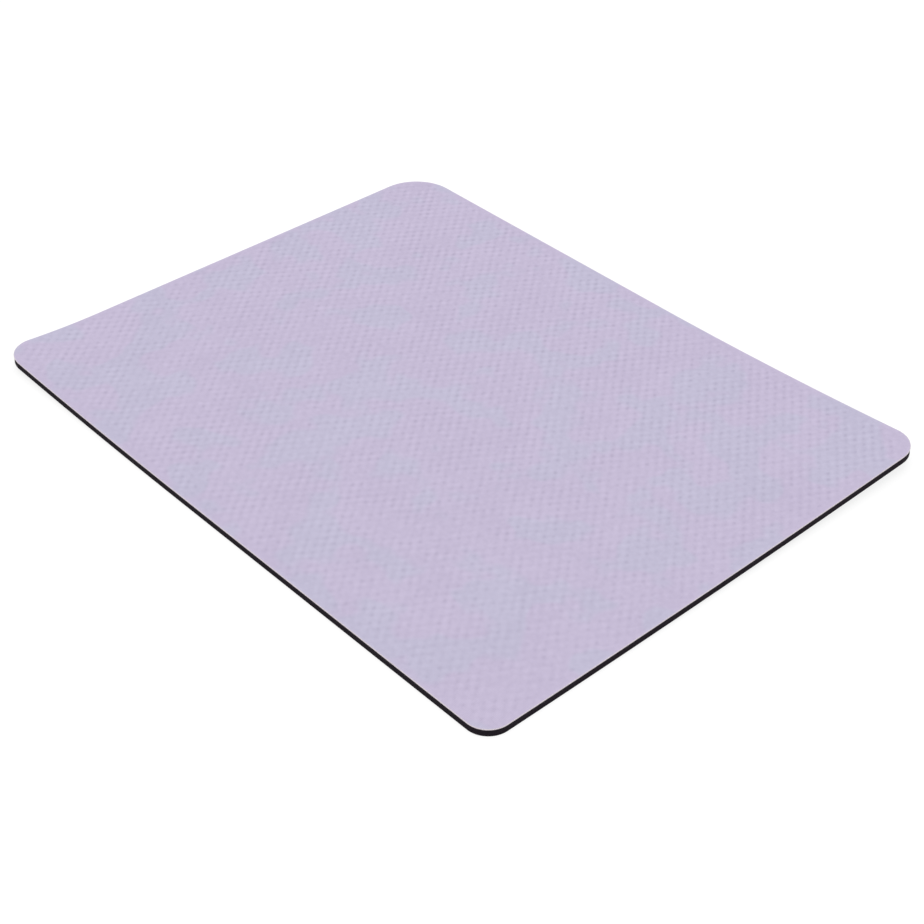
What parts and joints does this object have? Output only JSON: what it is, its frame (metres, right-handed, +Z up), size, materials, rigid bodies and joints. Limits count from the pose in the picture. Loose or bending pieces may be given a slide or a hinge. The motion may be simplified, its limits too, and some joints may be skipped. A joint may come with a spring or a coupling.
{
  "type": "mouse pad",
  "caption": "Thin rectangular mouse pad with rounded corners that curl up a little: lavender knitted cloth bonded to a black sponge rubber base.",
  "frame": {"origin": "middle of the underside, on the surface that the pad lies on", "axes": "+X along the long side, +Y along the short side, +Z up out of the cloth face"},
  "size_m": [0.2794, 0.216, 0.0071],
  "materials": {
    "sponge_rubber": "matt black closed-cell sponge, cut edge with fine pores, embossed underside",
    "adhesive_film": "thin milky hot-melt film",
    "knitted_cloth": "smooth lavender polyester knit with a faint regular pattern of pits"
  },
  "bodies": {
    "root": {"rubber_base": "sponge_rubber", "bond_film": "adhesive_film", "cloth_top": "knitted_cloth"}
  },
  "joints": []
}
